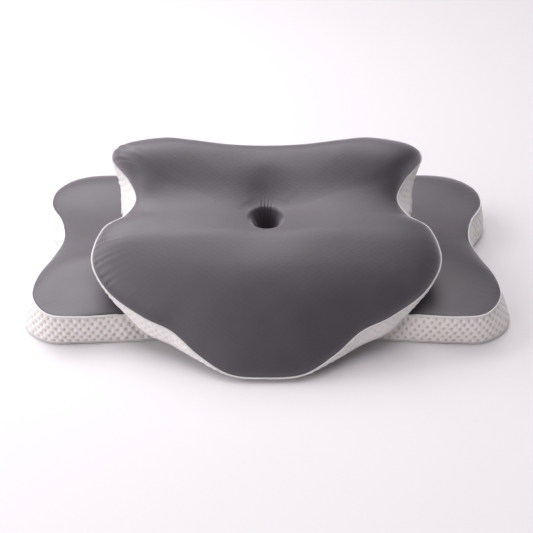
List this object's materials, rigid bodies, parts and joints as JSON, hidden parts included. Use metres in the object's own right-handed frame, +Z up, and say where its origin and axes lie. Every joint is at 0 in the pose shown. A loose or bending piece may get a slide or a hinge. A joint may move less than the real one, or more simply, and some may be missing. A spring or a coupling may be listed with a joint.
{
  "type": "contoured neck support pillow set",
  "caption": "Large and small butterfly-shaped foam neck pillows in zipped knit covers, the small one leaning nose-down on the large one.",
  "frame": {"origin": "bottom centre of the bounding box, on the surface the set lies on", "axes": "+X along the long side, -Y towards the nose of the small pillow, +Z up"},
  "size_m": [0.6194, 0.405, 0.1859],
  "materials": {
    "knit_grey": "matte dimpled knit",
    "bubble_knit_white": "quilted bubble knit with small beige hollows",
    "base_fabric": "plain woven base fabric",
    "liner_fabric": "thin white tricot",
    "foam": "open-cell memory foam",
    "thread": "sewn seam and thread",
    "zip_tape": "woven tape",
    "zip_coil": "nylon coil",
    "zip_metal": "satin plated"
  },
  "bodies": {
    "large_pillow": {"large_foam_core": "foam", "large_inner_liner": "liner_fabric", "large_top_panel": "knit_grey", "large_side_band": "bubble_knit_white", "large_bottom_panel": "base_fabric", "large_top_seam": "thread", "large_bottom_seam": "thread", "large_centre_tie": "thread", "large_zip_tape_upper": "zip_tape", "large_zip_tape_lower": "zip_tape", "large_zip_coil_upper": "zip_coil", "large_zip_coil_lower": "zip_coil", "large_zip_closed_stop": "zip_metal", "large_zip_open_stop": "zip_metal"},
    "large_slider": {"large_zip_slider": "zip_metal"},
    "large_puller": {"large_zip_puller": "zip_metal"},
    "small_pillow": {"small_foam_core": "foam", "small_inner_liner": "liner_fabric", "small_top_panel": "knit_grey", "small_side_band": "bubble_knit_white", "small_bottom_panel": "base_fabric", "small_top_seam": "thread", "small_bottom_seam": "thread", "small_centre_tie": "thread", "small_zip_tape_upper": "zip_tape", "small_zip_tape_lower": "zip_tape", "small_zip_coil_upper": "zip_coil", "small_zip_coil_lower": "zip_coil", "small_zip_closed_stop": "zip_metal", "small_zip_open_stop": "zip_metal"},
    "small_slider": {"small_zip_slider": "zip_metal"},
    "small_puller": {"small_zip_puller": "zip_metal"}
  },
  "joints": [
    {"name": "small_lift_off", "type": "slide", "parent": "large_pillow", "child": "small_pillow", "axis": [0, 0, 1], "range_m": [0, 0.2]},
    {"name": "large_zip_travel", "type": "hinge", "parent": "large_pillow", "child": "large_slider", "pos_m": [0, 1.78548, 0.02], "axis": [0, 0, 1], "range_deg": [0, 8.45]},
    {"name": "large_puller_swing", "type": "hinge", "parent": "large_slider", "child": "large_puller", "pos_m": [-0.11767, 0.19282, 0.02], "axis": [0, 0, 1], "range_deg": [0, 180]},
    {"name": "small_zip_travel", "type": "hinge", "parent": "small_pillow", "child": "small_slider", "pos_m": [0, 0.6116, 0.41908], "axis": [0, -0.4478, 0.8942], "range_deg": [0, 14.7]},
    {"name": "small_puller_swing", "type": "hinge", "parent": "small_slider", "child": "small_puller", "pos_m": [-0.07641, 0.08218, 0.15397], "axis": [0, -0.4478, 0.8942], "range_deg": [0, 180]}
  ]
}
